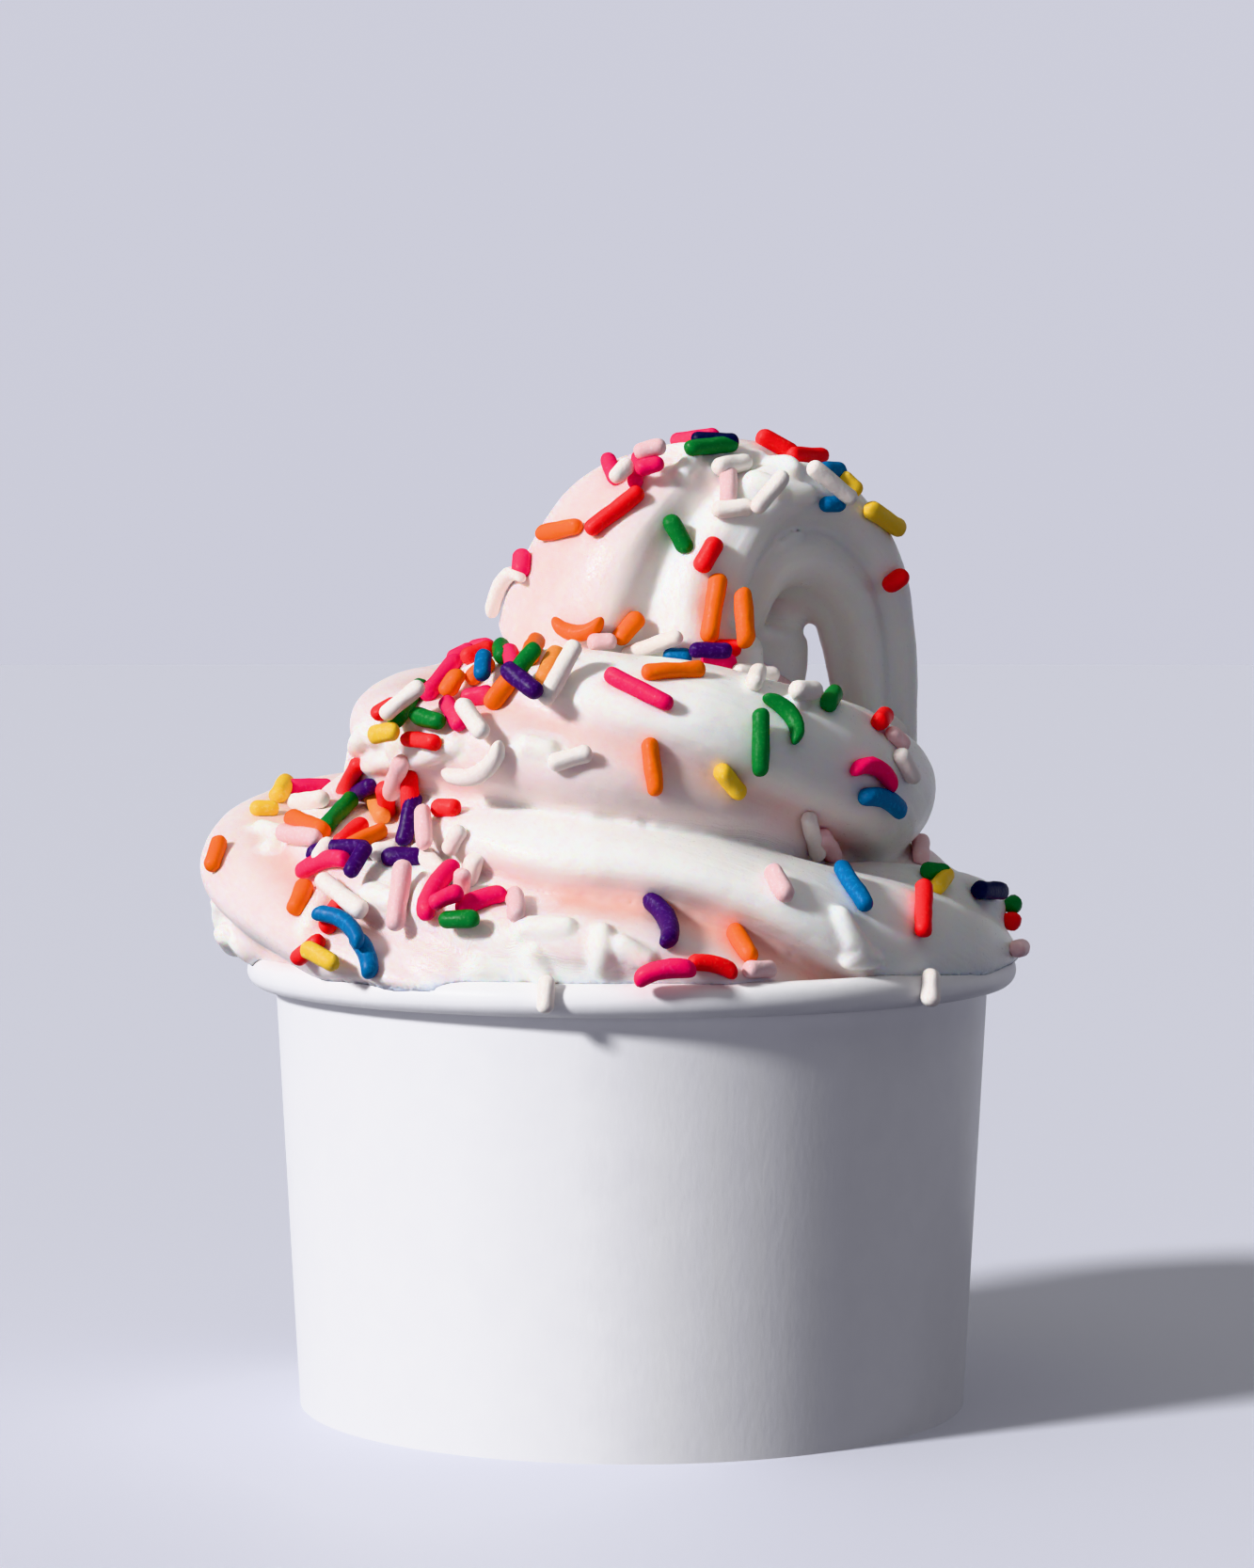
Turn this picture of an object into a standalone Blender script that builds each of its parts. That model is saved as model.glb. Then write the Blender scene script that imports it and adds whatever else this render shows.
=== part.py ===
"""A paper cup of twisted soft-serve ice cream with sprinkles, at its real size.

+Z is up and -Y is the front. The model is built round the cup's axis in millimetres. Last, its origin
moves to the bottom centre of its bounds, which the leaning heap puts a little off the axis, and it is
scaled to metres.
"""

import math
import random

import bmesh
import bpy
import numpy as np
from mathutils import Matrix, Vector
from mathutils.bvhtree import BVHTree

MM = 0.001
MERGE = 0.001  # points nearer than this are one
GAP = 0.3  # left between pieces that touch
UP = Vector((0, 0, 1))

# Paper cup: a wrapped wall with a rolled rim and a folded foot, and a pressed disc held in the fold.
CUP_HEIGHT = 51.0
RIM_RADIUS = 43.5
FOOT_RADIUS = 37.7
PAPER = 0.45
ROLL_RADIUS = 1.8
ROLL_END_DEG = -120
ROLL_STEP_DEG = 40
FOLD_HEIGHT = 5.0
DISC_HEIGHT = 6.5
CUP_SIDES = 48

# Rope of ice cream: a grooved strand laid in a coil that climbs clockwise, seen from above.
COIL_HALF_WIDTH = 14.8
COIL_HALF_HEIGHT = 10.2
RING_SPACING = 4.4

# The coil's centreline: turn in degrees (0 at the right, -90 at the front), radius, height, how far the
# nozzle has turned in degrees, and how deep its grooves are.
COIL = (
    (-20, 22.0, 36.0, 0, 1.0),
    (-90, 27.5, 48.0, 0, 1.0),
    (-135, 28.8, 54.0, 0, 0.8),
    (-180, 33.8, 59.3, 0, 0.7),
    (-225, 32.6, 59.5, 0, 0.8),
    (-270, 30.0, 57.5, 0, 1.0),
    (-315, 30.5, 54.6, -12, 1.0),
    (-360, 29.6, 52.2, -8, 1.0),
    (-405, 28.2, 52.4, 24, 1.2),
    (-450, 25.8, 57.6, 34, 1.3),
    (-470, 25.0, 58.8, 8, 1.3),
    (-495, 24.0, 60.2, 0, 1.2),
    (-540, 21.0, 63.0, 0, 1.0),
    (-630, 18.5, 65.5, 10, 1.0),
    (-720, 19.8, 69.3, 20, 0.8),
    (-765, 19.8, 72.0, 22, 0.6),
    (-810, 19.3, 74.8, 22, 0.5),
    (-855, 18.8, 75.0, 18, 0.5),
    (-900, 17.6, 72.8, 8, 0.6),
)
COIL_STEP_DEG = 30

# The last of the rope stands up from the middle, bends over and falls: x, y, z, half its width, how far the
# nozzle has turned and how deep its grooves are.
CURL = (
    (-13.0, 10.0, 72.8, 14.8, 0, 1.0),
    (-5.0, 11.0, 76.0, 15.6, 0, 1.0),
    (1.2, 7.5, 82.5, 18.0, 0, 1.0),
    (2.6, 4.8, 89.0, 17.2, 0, 1.0),
    (4.6, 3.4, 94.4, 14.8, -4, 1.0),
    (9.4, 3.0, 98.0, 11.8, -26, 1.0),
    (14.4, 4.2, 99.5, 9.6, -58, 1.0),
    (19.5, 6.2, 98.5, 8.4, -74, 1.0),
    (23.6, 8.6, 95.2, 7.2, -76, 1.0),
    (26.1, 10.8, 91.0, 6.3, -74, 1.0),
    (27.4, 12.6, 85.5, 5.6, -72, 1.0),
    (28.1, 14.2, 79.5, 5.2, -70, 1.0),
    (28.5, 15.4, 73.5, 5.0, -70, 1.0),
)

# Its section. A groove is an angle round the nozzle in degrees, a depth as a share of the half width (a
# ridge where it is negative) and a width in degrees. The corners are where the section has its points.
COIL_GROOVES = (
    (14, 0.12, 18.0),
    (74, 0.12, 18.0),
    (134, 0.12, 18.0),
    (180, 0.12, 14.0),
    (216, -0.15, 20.0),
    (251, 0.26, 14.0),
)
CURL_GROOVES = (
    (50, 0.15, 16.0),
    (100, 0.12, 14.0),
    (156, 0.10, 14.0),
    (212, 0.06, 14.0),
    (265, 0.17, 11.0),
    (311, -0.05, 10.0),
    (342, 0.38, 15.0),
    (14, -0.05, 14.0),
)
COIL_CORNERS = (
    0, 14, 28, 46, 74, 104, 134, 158, 180, 198, 214, 228, 240, 251, 262, 274, 288, 302, 318, 332, 346,
)
CURL_CORNERS = (
    0, 14, 32, 50, 75, 100, 128, 156, 184, 198, 212, 230, 248, 265, 278, 290, 300, 311, 326, 342, 352,
)

# The lobe that the bend squeezes out on its inside: the middles of its round ends, and its radius.
FOLD = ((15.5, 9.0, 87.0), (19.5, 9.0, 91.5), 2.8)
FOLD_SIDES = 8

# Lumps at the rim: the middle, half the sizes, and how far each is turned about the upright in degrees.
LUMPS = (
    ((-5.5, -36.2, 52.2), (7.6, 3.6, 4.8), 0),
    ((-19.0, -32.4, 51.4), (9.6, 5.4, 5.6), -28),
    ((-43.2, -6.0, 52.2), (3.6, 5.4, 3.4), 0),
)
LUMP_SPLITS = 2
BEND_SHARE = 0.8  # how near the section may come to the middle of its bend
ROUNDING_ROWS = 3  # rows over which the flattened coil becomes a round strand
TIP_RINGS = ((0.45, 0.75), (0.7, 0.35))  # how far past the last row and how wide, in its half widths

# What fills the cup and the middle of the coil: radius and height above the rim.
CORE = ((32.0, 53.0), (25.0, 62.0), (18.0, 72.0), (10.0, 79.0))
CORE_SHOULDER = 46.0
CORE_SIDES = 40
CUTTER_REACH = 30.0

# Sprinkles: little rods that fell on the heap in showers, each from one place towards another.
SPRINKLE_RADIUS = 1.15
SPRINKLE_LENGTHS = (4.6, 7.6)
SPRINKLE_SIDES = 5
SPRINKLE_TIP = 0.55  # an end's radius, as a share of the rod's
SPRINKLE_SINK = 0.4  # share of the radius that is pressed into the ice cream
SPRINKLE_SPACING = 3.4
SHOWERS = (
    # from where, towards where, how far it spreads, and how many
    ((-60, -80, 140), (-24, -12, 72), 9.0, 22),
    ((-40, -120, 110), (-24, -30, 57), 8.0, 15),
    ((-10, -30, 220), (11, 3, 106), 8.0, 12),
    ((20, -200, 110), (6, -30, 72), 18.0, 18),
    ((-160, 20, 120), (-38, 4, 64), 8.0, 8),
    ((-40, 160, 140), (-10, 24, 68), 16.0, 14),
    ((150, 60, 130), (28, 12, 66), 12.0, 9),
)
SEED = 7

PAPER_COLOUR = (0.86, 0.86, 0.86)
PAPER_ROUGHNESS = 0.45
ICE_CREAM_COLOUR = (0.93, 0.82, 0.78)
ICE_CREAM_ROUGHNESS = 0.35
SHARP_DEG = 40


def clear_scene():
    for found in list(bpy.data.objects):
        bpy.data.objects.remove(found)


def object_from(name, shape):
    """A mesh object of the closed bmesh, with its faces pointing out."""
    bmesh.ops.recalc_face_normals(shape, faces=shape.faces)
    mesh = bpy.data.meshes.new(name)
    shape.to_mesh(mesh)
    shape.free()
    made = bpy.data.objects.new(name, mesh)
    bpy.context.scene.collection.objects.link(made)
    return made


def turned(name, outline, sides):
    """The closed outline of (radius, height) corners, spun round the z axis."""
    shape = bmesh.new()
    corners = [shape.verts.new((radius, 0, height)) for radius, height in outline]
    edges = [shape.edges.new((a, b)) for a, b in zip(corners, corners[1:] + corners[:1])]
    bmesh.ops.spin(
        shape,
        geom=corners + edges,
        cent=(0, 0, 0),
        axis=UP,
        angle=math.tau,
        steps=sides,
        use_merge=True,
    )
    bmesh.ops.remove_doubles(shape, verts=shape.verts, dist=MERGE)
    bmesh.ops.dissolve_degenerate(shape, edges=shape.edges, dist=MERGE)
    return object_from(name, shape)


def wall_radius(height, inset=0.0):
    """Radius of the cup's outer face at a height, less the inset."""
    top_radius = RIM_RADIUS - 2 * ROLL_RADIUS + PAPER
    return FOOT_RADIUS + (top_radius - FOOT_RADIUS) * height / roll_centre()[1] - inset


def roll_centre():
    return RIM_RADIUS - ROLL_RADIUS, CUP_HEIGHT - ROLL_RADIUS


def roll_arc(radius, start_deg, stop_deg):
    """Corners round the rolled rim's section, from one angle to another."""
    across, height = roll_centre()
    steps = round(abs(stop_deg - start_deg) / ROLL_STEP_DEG)
    angles = [math.radians(start_deg + (stop_deg - start_deg) * n / steps) for n in range(steps + 1)]
    return [(across + radius * math.cos(a), height + radius * math.sin(a)) for a in angles]


def cup_wall():
    """The wall rises from the foot, curls outwards into the rim, and folds up inside itself at the foot."""
    leaf = 2 * (PAPER + GAP)
    outline = [
        (wall_radius(0), 0.0),
        *roll_arc(ROLL_RADIUS - PAPER, 180, ROLL_END_DEG),
        *reversed(roll_arc(ROLL_RADIUS, 180, ROLL_END_DEG)),
        (wall_radius(PAPER, PAPER), PAPER),
        (wall_radius(PAPER, leaf), PAPER),
        (wall_radius(FOLD_HEIGHT, leaf), FOLD_HEIGHT),
        (wall_radius(FOLD_HEIGHT, leaf + PAPER), FOLD_HEIGHT),
        (wall_radius(0, leaf + PAPER), 0.0),
    ]
    return turned("cup_wall", outline, CUP_SIDES)


def cup_disc():
    """The floor of the cup, with a skirt that goes down into the wall's fold."""
    outer, inner = PAPER + GAP, 2 * PAPER + GAP
    low = PAPER + GAP
    under = DISC_HEIGHT - PAPER
    outline = [
        (0.0, DISC_HEIGHT),
        (wall_radius(DISC_HEIGHT, outer + PAPER), DISC_HEIGHT),
        (wall_radius(under, outer), under),
        (wall_radius(low, outer), low),
        (wall_radius(low, inner), low),
        (wall_radius(under - PAPER, inner), under - PAPER),
        (wall_radius(under, inner + PAPER), under),
        (0.0, under),
    ]
    return turned("cup_disc", outline, CUP_SIDES)


def smooth_through(rows, count=16):
    """A Catmull-Rom curve through the rows."""
    rows = np.array(rows, float)
    ends = np.vstack([2 * rows[0] - rows[1], rows, 2 * rows[-1] - rows[-2]])
    steps = np.linspace(0, 1, count, endpoint=False)[:, None]
    spans = [
        start
        + 0.5 * steps * (stop - before)
        + steps**2 * (before - 2.5 * start + 2 * stop - 0.5 * after)
        + steps**3 * (1.5 * (start - stop) + 0.5 * (after - before))
        for before, start, stop, after in zip(ends, ends[1:], ends[2:], ends[3:])
    ]
    return np.vstack([*spans, rows[-1:]])


def evenly(rows, spacing):
    """The rows interpolated so that their first three columns move by the same distance each time."""
    moves = np.linalg.norm(np.diff(rows[:, :3], axis=0), axis=1)
    travelled = np.concatenate([[0], np.cumsum(moves)])
    stops = np.linspace(0, travelled[-1], round(travelled[-1] / spacing) + 1)
    return np.stack([np.interp(stops, travelled, column) for column in rows.T], axis=1)


def rope_rows(spacing):
    """At even steps: the centreline, half width, twist, groove depth, and how far from coil to curl."""
    polar = smooth_through(COIL)
    turns = np.arange(COIL[0][0], COIL[-1][0] - 1, -COIL_STEP_DEG)
    columns = (np.interp(-turns, -polar[:, 0], column) for column in polar.T[1:])
    rows = [
        (r * math.cos(math.radians(t)), r * math.sin(math.radians(t)), z, COIL_HALF_WIDTH, twist, depth, 0.0)
        for t, r, z, twist, depth in zip(turns, *columns)
    ]
    rows += [(*row, min(1.0, count / ROUNDING_ROWS)) for count, row in enumerate(CURL, start=1)]
    return evenly(smooth_through(rows), spacing)


def nozzle_turns(centres):
    """For each centre, the rotation that carries the strand as it left the upright nozzle to how it lies."""
    moves = np.gradient(centres, axis=0)
    tangents = [Vector(move).normalized() for move in moves]
    upright = max(range(len(tangents)), key=lambda n: tangents[n].z)
    turns = [UP.rotation_difference(tangent).to_matrix() for tangent in tangents[: upright + 1]]
    for before, tangent in zip(tangents[upright:], tangents[upright + 1 :]):
        turns.append(before.rotation_difference(tangent).to_matrix() @ turns[-1])
    return turns


def dips(azimuth, grooves):
    """How far the grooves reach in at an azimuth, as a share of the half width."""
    offs = [((azimuth - middle + 180) % 360 - 180, depth, width) for middle, depth, width in grooves]
    return sum(depth * math.exp(-((off / width) ** 2)) for off, depth, width in offs)


def ring(centre, turn, half_width, twist, depth, curled):
    """The grooved section at one place: flattened where it lies in the coil, and round in the curl."""
    along = turn @ UP
    upward = UP - along * along.z
    upward = upward.normalized() if upward.length > MERGE else turn.col[0]
    flattened = (1 - COIL_HALF_HEIGHT / COIL_HALF_WIDTH) * (1 - curled)
    points = []
    for on_coil, on_curl in zip(COIL_CORNERS, CURL_CORNERS):
        nozzle = on_coil + (on_curl - on_coil) * curled
        dip = dips(nozzle, COIL_GROOVES) * (1 - curled) + dips(nozzle, CURL_GROOVES) * curled
        reach = half_width * (1 - depth * dip)
        azimuth = math.radians(nozzle + twist)
        point = turn @ Vector((reach * math.cos(azimuth), reach * math.sin(azimuth), 0))
        point -= upward * point.dot(upward) * flattened
        points.append(Vector(centre) + point)
    return points


def bends(centres):
    """For each centre, the bend's inverse radius, as a vector towards its middle."""
    moves = np.gradient(centres, axis=0)
    lengths = np.linalg.norm(moves, axis=1)[:, None]
    return [Vector(bend) for bend in np.gradient(moves / lengths, axis=0) / lengths]


def kept_back(points, centre, bend):
    """The ring's points, drawn back where they would pass the middle of the bend."""
    inward = bend.normalized()
    most = BEND_SHARE / max(bend.length, MERGE)
    return [point - inward * max(0.0, (point - centre).dot(inward) - most) for point in points]


def tube(name, rings):
    """A closed solid through rings of the same number of points, with flat ends."""
    shape = bmesh.new()
    corners = [[shape.verts.new(point) for point in one] for one in rings]
    for below, above in zip(corners, corners[1:]):
        for n in range(len(below)):
            shape.faces.new((below[n - 1], below[n], above[n], above[n - 1]))
    shape.faces.new(corners[0])
    shape.faces.new(corners[-1])
    return object_from(name, shape)


def strand():
    """The whole rope, from its start inside the cup to its rounded tip."""
    rows = rope_rows(RING_SPACING)
    turns = nozzle_turns(rows[:, :3])
    rings = [ring(row[:3], turn, *row[3:]) for row, turn in zip(rows, turns)]
    rings = [kept_back(*three) for three in zip(rings, map(Vector, rows[:, :3]), bends(rows[:, :3]))]
    x, y, z, half, *section = rows[-1]
    for ahead, share in TIP_RINGS:
        centre = Vector((x, y, z)) + (turns[-1] @ UP) * half * ahead
        rings.append(ring(centre, turns[-1], half * share, *section))
    return tube("strand", rings)


def fold():
    """The squeezed-out lobe: a rod with round ends."""
    start, stop, radius = Vector(FOLD[0]), Vector(FOLD[1]), FOLD[2]
    half = (stop - start).length / 2
    cap = [(radius * math.cos(a), half + radius * math.sin(a)) for a in (0, math.pi / 4)]
    outline = [(0.0, -half - radius), *[(r, -h) for r, h in reversed(cap)], *cap, (0.0, half + radius)]
    made = turned("fold", outline, FOLD_SIDES)
    turn = UP.rotation_difference(stop - start).to_matrix().to_4x4()
    made.data.transform(Matrix.Translation((start + stop) / 2) @ turn)
    return made


def lump(middle, sizes, turn_deg):
    shape = bmesh.new()
    bmesh.ops.create_icosphere(shape, subdivisions=LUMP_SPLITS, radius=1.0)
    turn = Matrix.Rotation(math.radians(turn_deg), 4, "Z")
    bmesh.ops.transform(
        shape, matrix=Matrix.Translation(middle) @ turn @ Matrix.Diagonal((*sizes, 1)), verts=shape.verts
    )
    return object_from("lump", shape)


def gathered(name, pieces):
    """One mesh of several pieces, which still overlap."""
    shape = bmesh.new()
    for piece in pieces:
        shape.from_mesh(piece.data)
        bpy.data.objects.remove(piece)
    return object_from(name, shape)


def core():
    """What fills the cup up to its shoulder, and the middle of the coil above it."""
    low = DISC_HEIGHT + GAP
    inset = PAPER + GAP
    outline = [(0.0, low), (wall_radius(low, inset), low), (wall_radius(CORE_SHOULDER, inset), CORE_SHOULDER)]
    outline += [*CORE, (0.0, CORE[-1][1])]
    return turned("soft_serve", outline, CORE_SIDES)


def cup_clearance():
    """A cutter that keeps the ice cream off the wall and its rolled rim, and out of what is round them."""
    middle = roll_centre()[1]
    outline = [
        (wall_radius(0, PAPER + GAP), 0.0),
        *roll_arc(ROLL_RADIUS + GAP, 180, 0),
        (RIM_RADIUS + CUTTER_REACH, middle),
        (RIM_RADIUS + CUTTER_REACH, 0.0),
    ]
    return turned("cup_clearance", outline, CUP_SIDES)


def sprinkle(name, centre, along, length):
    """A rod with blunt ends."""
    turn = along.to_track_quat("Z", "Y").to_matrix()
    bevel = SPRINKLE_RADIUS * (1 - SPRINKLE_TIP)
    profile = (
        (-length / 2, SPRINKLE_TIP * SPRINKLE_RADIUS),
        (bevel - length / 2, SPRINKLE_RADIUS),
        (length / 2 - bevel, SPRINKLE_RADIUS),
        (length / 2, SPRINKLE_TIP * SPRINKLE_RADIUS),
    )
    angles = [math.tau * n / SPRINKLE_SIDES for n in range(SPRINKLE_SIDES)]
    rings = [
        [centre + turn @ Vector((radius * math.cos(a), radius * math.sin(a), height)) for a in angles]
        for height, radius in profile
    ]
    return tube(name, rings)


def sprinkles(heap):
    """A collection of rods that lie where showers of them meet the heap, clear of the cup."""
    draw = random.Random(SEED)
    tree = BVHTree.FromPolygons([v.co for v in heap.data.vertices], [f.vertices for f in heap.data.polygons])
    fallen = bpy.data.collections.new("sprinkles")
    centres = []
    for source, target, spread, count in SHOWERS:
        wanted = len(centres) + count
        while len(centres) < wanted:
            aim = Vector(target) + Vector([draw.gauss(0, spread) for _ in range(3)])
            place, normal, _, _ = tree.ray_cast(Vector(source), (aim - Vector(source)).normalized())
            length = draw.uniform(*SPRINKLE_LENGTHS)
            heading = Vector([draw.gauss(0, 1) for _ in range(3)])
            if place is None:
                continue
            along = heading.cross(normal).normalized()
            centre = place + normal * SPRINKLE_RADIUS * (1 - SPRINKLE_SINK)
            lowest = centre.z - abs(along.z) * length / 2 - SPRINKLE_RADIUS
            crowded = any((centre - other).length < SPRINKLE_SPACING for other in centres)
            if lowest < CUP_HEIGHT + GAP or crowded:
                continue
            made = sprinkle(f"sprinkle_{len(centres)}", centre, along, length)
            bpy.context.scene.collection.objects.unlink(made)
            fallen.objects.link(made)
            centres.append(centre)
    return fallen


def boolean(target, operation, helper, solver="EXACT", overlaps_itself=False):
    """Cuts or joins with an object or a collection, applies it and removes what it used."""
    modifier = target.modifiers.new(operation.lower(), "BOOLEAN")
    modifier.operation = operation
    modifier.solver = solver
    if solver == "EXACT":
        modifier.use_self = overlaps_itself
    used = [helper]
    if isinstance(helper, bpy.types.Collection):
        modifier.operand_type = "COLLECTION"
        modifier.collection = helper
        used = list(helper.objects)
    else:
        modifier.object = helper
    graph = bpy.context.evaluated_depsgraph_get()
    mesh = bpy.data.meshes.new_from_object(target.evaluated_get(graph))
    target.modifiers.clear()
    target.data = mesh
    for piece in used:
        bpy.data.objects.remove(piece)


def keep_largest_shell(made):
    """Deletes the loose scraps and the sealed hollows that a union leaves."""
    shape = bmesh.new()
    shape.from_mesh(made.data)
    shells = []
    waiting = set(shape.verts)
    while waiting:
        shell = set()
        front = [waiting.pop()]
        while front:
            vert = front.pop()
            shell.add(vert)
            near = {edge.other_vert(vert) for edge in vert.link_edges} & waiting
            waiting -= near
            front += near
        shells.append(shell)
    largest = max(shells, key=len)
    bmesh.ops.delete(shape, geom=[v for v in shape.verts if v not in largest], context="VERTS")
    shape.to_mesh(made.data)
    shape.free()


def finish(made, colour, roughness):
    """Shades a piece smooth between its sharp edges and gives it its material."""
    made.data.shade_smooth()
    made.data.set_sharp_from_angle(angle=math.radians(SHARP_DEG))
    material = bpy.data.materials.new(made.name)
    material.use_nodes = True
    shader = material.node_tree.nodes["Principled BSDF"]
    shader.inputs["Base Color"].default_value = (*colour, 1)
    shader.inputs["Roughness"].default_value = roughness
    shader.inputs["Metallic"].default_value = 0.0
    made.data.materials.clear()
    made.data.materials.append(material)


def to_metres(pieces):
    """Moves the origin to the bottom centre of all the pieces' bounds, and turns millimetres to metres."""
    points = np.array([vert.co for piece in pieces for vert in piece.data.vertices])
    middle = (points.min(axis=0) + points.max(axis=0)) / 2
    shift = Matrix.Translation((-middle[0], -middle[1], -points[:, 2].min()))
    for piece in pieces:
        piece.data.transform(Matrix.Scale(MM, 4) @ shift)
        piece.data.update()


def main():
    clear_scene()
    wall = cup_wall()
    disc = cup_disc()
    heap = core()
    lumps = [lump(*row) for row in LUMPS]
    boolean(heap, "UNION", gathered("rope", [strand(), fold(), *lumps]), overlaps_itself=True)
    boolean(heap, "DIFFERENCE", cup_clearance())
    keep_largest_shell(heap)
    boolean(heap, "UNION", sprinkles(heap), solver="MANIFOLD")
    keep_largest_shell(heap)
    finish(wall, PAPER_COLOUR, PAPER_ROUGHNESS)
    finish(disc, PAPER_COLOUR, PAPER_ROUGHNESS)
    finish(heap, ICE_CREAM_COLOUR, ICE_CREAM_ROUGHNESS)
    to_metres([wall, disc, heap])


main()
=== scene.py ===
"""The looks of the cup of soft-serve ice cream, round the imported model.

Shapes are made in millimetres round the cup's axis, with z up from the table and -y at the front, and are
turned to metres and moved to the frame's own axis when they are done.
"""

import math
import random

import bmesh
import bpy
import numpy as np
from mathutils import Euler, Matrix, Vector, noise
from mathutils.bvhtree import BVHTree
from mathutils.kdtree import KDTree


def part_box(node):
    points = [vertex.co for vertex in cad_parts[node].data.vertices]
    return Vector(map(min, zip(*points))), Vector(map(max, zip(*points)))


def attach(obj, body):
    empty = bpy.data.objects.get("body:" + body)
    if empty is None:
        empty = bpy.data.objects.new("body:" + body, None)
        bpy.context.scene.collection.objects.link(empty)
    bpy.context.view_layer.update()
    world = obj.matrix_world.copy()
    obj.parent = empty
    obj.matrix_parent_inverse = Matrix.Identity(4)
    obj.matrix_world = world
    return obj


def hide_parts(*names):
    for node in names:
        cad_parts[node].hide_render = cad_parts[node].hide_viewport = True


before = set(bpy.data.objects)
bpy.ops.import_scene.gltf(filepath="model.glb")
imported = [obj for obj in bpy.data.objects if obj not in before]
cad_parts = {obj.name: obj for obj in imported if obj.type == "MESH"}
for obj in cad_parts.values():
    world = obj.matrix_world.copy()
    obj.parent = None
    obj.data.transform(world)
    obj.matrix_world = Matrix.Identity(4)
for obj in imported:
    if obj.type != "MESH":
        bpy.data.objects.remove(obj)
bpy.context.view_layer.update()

MM = 0.001
MERGE = 0.001
GAP = 0.3
TOUCH = 0.03  # how far the ice cream's skin reaches into the paper that it lies on
UP = Vector((0, 0, 1))

# Photograph: its size and focal length in pixels, its horizon's row, the cup's axis's column, and the
# camera's place in front of the axis.
PHOTO_SIZE = (1333, 1667)
FOCAL_PX = 4372.0
HORIZON_PX = 645.0
AXIS_PX = 671.5
CAMERA_PLACE = Vector((0.0, -466.0, 90.0))
SENSOR_WIDTH = 36.0
CLIP_START = 0.01

# Paper cup.
CUP_HEIGHT = 51.0
RIM_RADIUS = 43.5
FOOT_RADIUS = 37.7
PAPER = 0.45
ROLL_RADIUS = 1.8
ROLL_END_DEG = -120
ROLL_STEP_DEG = 12
FOLD_HEIGHT = 5.0
DISC_HEIGHT = 6.5
CUP_SIDES = 192
SHARP_DEG = 40

# Rope of ice cream. The nozzle's six teeth leave grooves in it.
COIL_HALF_WIDTH = 14.8
COIL_HALF_HEIGHT = 10.2
ROPE_SIDES = 84
RING_SPACING = 1.0
COIL = (  # turn deg (0 right, -90 front), radius, height, twist deg, groove depth
    (-20, 22.0, 36.0, 0, 1.0),
    (-90, 27.5, 48.0, 0, 1.0),
    (-135, 28.8, 54.0, 0, 0.8),
    (-180, 33.8, 59.3, 0, 0.7),
    (-225, 32.6, 59.5, 0, 0.8),
    (-270, 30.0, 57.5, 0, 1.0),
    (-315, 30.5, 54.6, -12, 1.0),
    (-360, 29.6, 52.2, -8, 1.0),
    (-405, 28.2, 52.4, 24, 1.2),
    (-450, 25.8, 57.6, 34, 1.3),
    (-470, 25.0, 58.8, 8, 1.3),
    (-495, 24.0, 60.2, 0, 1.2),
    (-540, 21.0, 63.0, 0, 1.0),
    (-630, 18.5, 65.5, 10, 1.0),
    (-720, 19.8, 69.3, 20, 0.8),
    (-765, 19.8, 72.0, 22, 0.6),
    (-810, 19.3, 74.8, 22, 0.5),
    (-855, 18.8, 75.0, 18, 0.5),
    (-900, 17.6, 72.8, 8, 0.6),
)
COIL_STEP_DEG = 30
SPAN_STEPS = 16
CURL = (  # x, y, z, half width, twist deg, groove depth
    (-13.0, 10.0, 72.8, 14.8, 0, 1.0),
    (-5.0, 11.0, 76.0, 15.6, 0, 1.0),
    (1.2, 7.5, 82.5, 18.0, 0, 1.0),
    (2.6, 4.8, 89.0, 17.2, 0, 1.0),
    (4.6, 3.4, 94.4, 14.8, -4, 1.0),
    (9.4, 3.0, 98.0, 11.8, -26, 1.0),
    (14.4, 4.2, 99.5, 9.6, -58, 1.0),
    (19.5, 6.2, 98.5, 8.4, -74, 1.0),
    (23.6, 8.6, 95.2, 7.2, -76, 1.0),
    (26.1, 10.8, 91.0, 6.3, -74, 1.0),
    (27.4, 12.6, 85.5, 5.6, -72, 1.0),
    (28.1, 14.2, 79.5, 5.2, -70, 1.0),
    (28.5, 15.4, 73.5, 5.0, -70, 1.0),
)
# The lobe that the bend squeezes out on its inside: the middles of its round ends, and its radius.
FOLD = ((15.5, 9.0, 87.0), (19.5, 9.0, 91.5), 2.8)
FOLD_STEPS = 12
# Grooves: azimuth in degrees, depth as a share of the half width, and width in degrees.
COIL_GROOVES = (
    (14, 0.12, 18.0),
    (74, 0.12, 18.0),
    (134, 0.12, 18.0),
    (180, 0.12, 14.0),
    (216, -0.15, 20.0),
    (251, 0.26, 14.0),
)
CURL_GROOVES = (
    (50, 0.15, 16.0),
    (100, 0.12, 14.0),
    (156, 0.10, 14.0),
    (212, 0.06, 14.0),
    (265, 0.21, 10.5),
    (311, -0.05, 10.0),
    (342, 0.38, 15.0),
    (14, -0.05, 14.0),
)
BEND_SHARE = 0.8  # how near the section may come to the middle of its bend
ROUNDING_ROWS = 3
TIP_RINGS = ((0.3, 0.9), (0.55, 0.7), (0.75, 0.4))
CORE = ((32.0, 53.0), (25.0, 62.0), (18.0, 72.0), (10.0, 79.0))
CORE_SHOULDER = 46.0
CORE_SIDES = 96
CUTTER_REACH = 30.0

# Where the overhang is tucked in over the rim.
RIM_TOP = 50.3
RIM_INSET = 0.2
OVERHANG = 1.7
OVERHANG_HEIGHT = 4.5

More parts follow.
